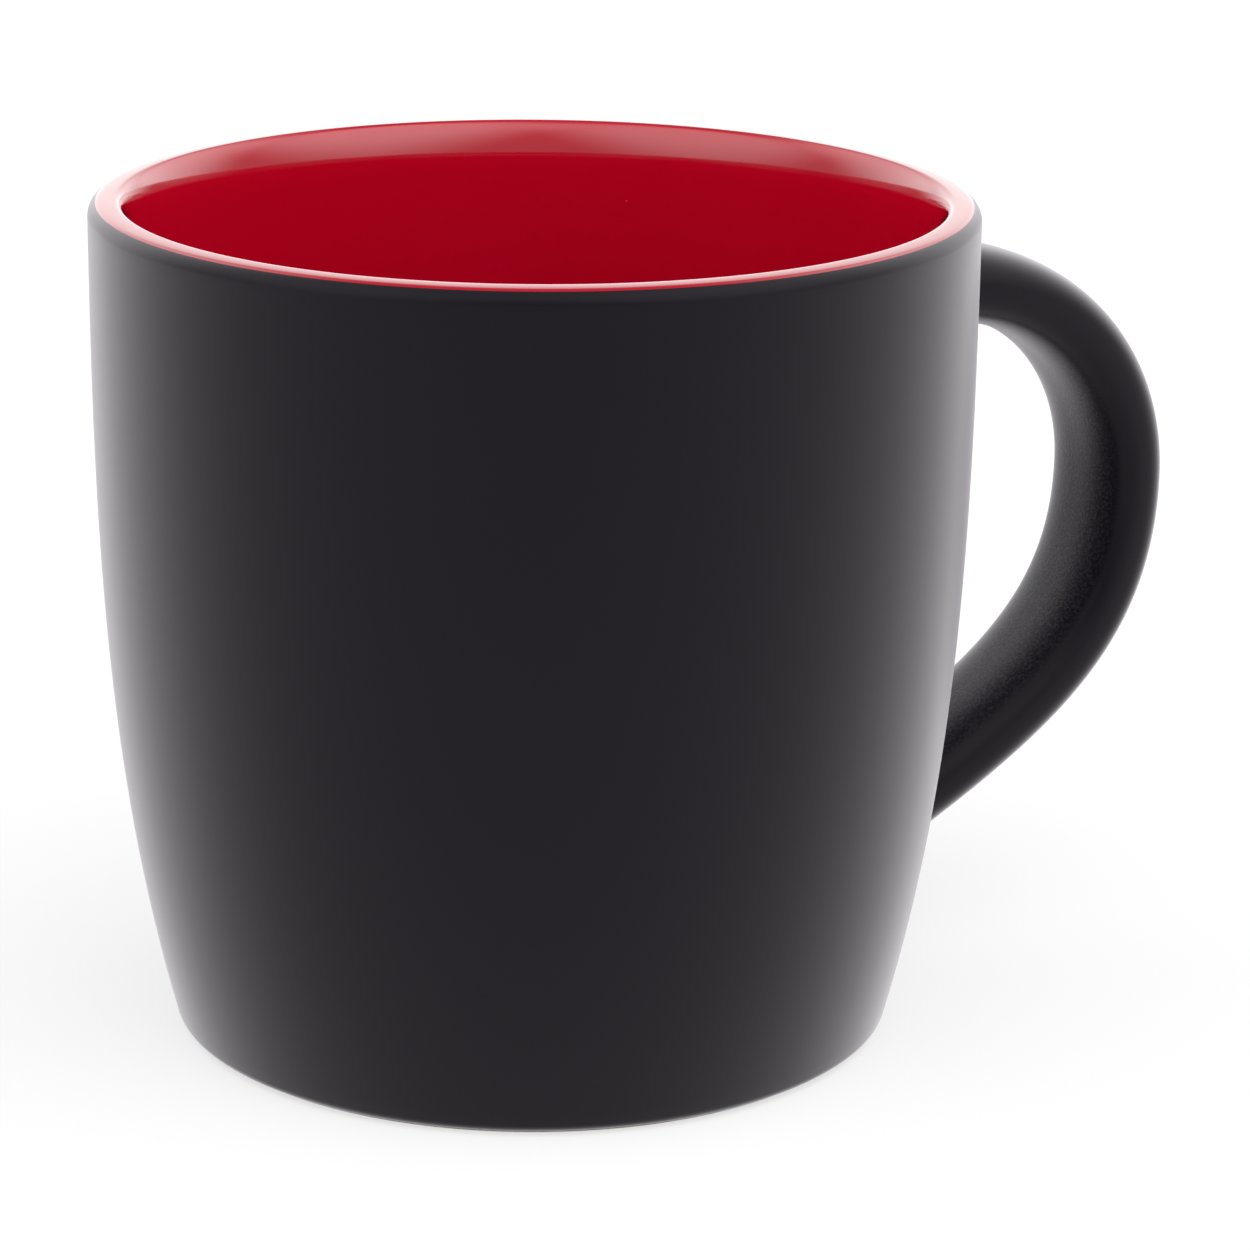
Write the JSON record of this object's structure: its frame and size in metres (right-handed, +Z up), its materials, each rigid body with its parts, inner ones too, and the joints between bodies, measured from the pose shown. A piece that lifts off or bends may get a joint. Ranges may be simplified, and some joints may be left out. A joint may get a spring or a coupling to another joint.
{
  "type": "mug",
  "caption": "Free-standing stoneware mug with an ear handle, matt black outside and glossy red inside and over the rounded lip, on a bare foot ring.",
  "frame": {"origin": "centre of the mug's overall box in plan, on the table that the foot ring stands on", "axes": "+Z up along the cup's axis, +X along the overall length towards the handle, +Y across"},
  "size_m": [0.1142, 0.085, 0.082],
  "materials": {
    "stoneware": "bare fired clay, ground flat at the foot ring",
    "joining_slip": "bare fired slip",
    "red_glaze": "glossy deep red glaze",
    "black_coat": "matt black, fine grained, with a soft sheen at the edges"
  },
  "bodies": {
    "root": {"stoneware_body": "stoneware", "handle": "stoneware", "upper_slip_joint": "joining_slip", "lower_slip_joint": "joining_slip", "inside_glaze": "red_glaze", "outside_coat": "black_coat", "handle_coat": "black_coat", "base_coat": "black_coat"}
  },
  "joints": []
}
